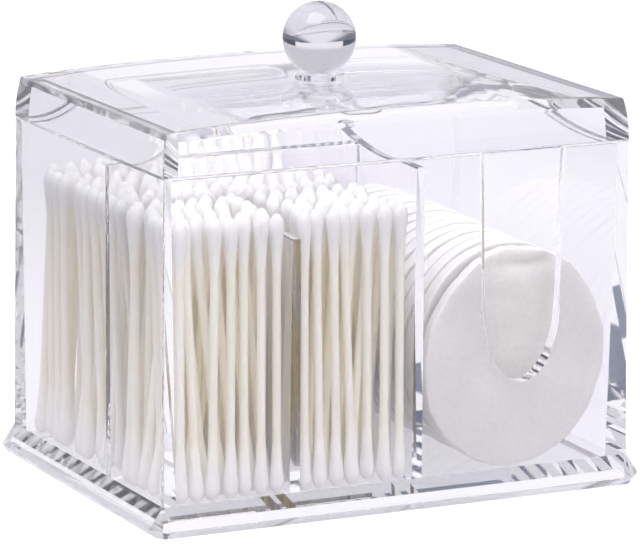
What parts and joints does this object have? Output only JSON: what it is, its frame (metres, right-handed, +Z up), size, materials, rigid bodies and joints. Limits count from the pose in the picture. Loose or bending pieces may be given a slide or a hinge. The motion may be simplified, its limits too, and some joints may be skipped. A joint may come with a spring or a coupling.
{
  "type": "cotton swab dispenser",
  "caption": "Clear divided box with a flared foot and a lift-off lid with a ball knob, holding cotton swabs and round cotton pads.",
  "frame": {"origin": "on the table, under the middle of the foot", "axes": "+Z up, -Y towards the front with the finger cut, +X to the right"},
  "size_m": [0.142, 0.1064, 0.1262],
  "materials": {
    "clear_acrylic": "clear, polished",
    "cotton_pad": "pressed cotton",
    "swab_stick": "rolled paper, ivory",
    "swab_tip": "wound cotton"
  },
  "bodies": {
    "box": {"dispenser_box": "clear_acrylic", "cotton_pad_01": "cotton_pad", "cotton_pad_02": "cotton_pad", "cotton_pad_03": "cotton_pad", "cotton_pad_04": "cotton_pad", "cotton_pad_05": "cotton_pad", "cotton_pad_06": "cotton_pad", "cotton_pad_07": "cotton_pad", "cotton_pad_08": "cotton_pad", "cotton_pad_09": "cotton_pad", "cotton_pad_10": "cotton_pad", "cotton_pad_11": "cotton_pad", "cotton_pad_12": "cotton_pad", "cotton_pad_13": "cotton_pad", "cotton_pad_14": "cotton_pad", "cotton_pad_15": "cotton_pad", "cotton_pad_16": "cotton_pad", "swab_sticks_back_left": "swab_stick", "swab_sticks_front_left": "swab_stick", "swab_sticks_front_right": "swab_stick", "swab_tips_back_left": "swab_tip", "swab_tips_front_left": "swab_tip", "swab_tips_front_right": "swab_tip"},
    "lid": {"lid": "clear_acrylic", "knob": "clear_acrylic"}
  },
  "joints": [
    {"name": "lid_lift", "type": "slide", "parent": "box", "child": "lid", "axis": [0, 0, 1], "range_m": [0, 0.08]}
  ]
}
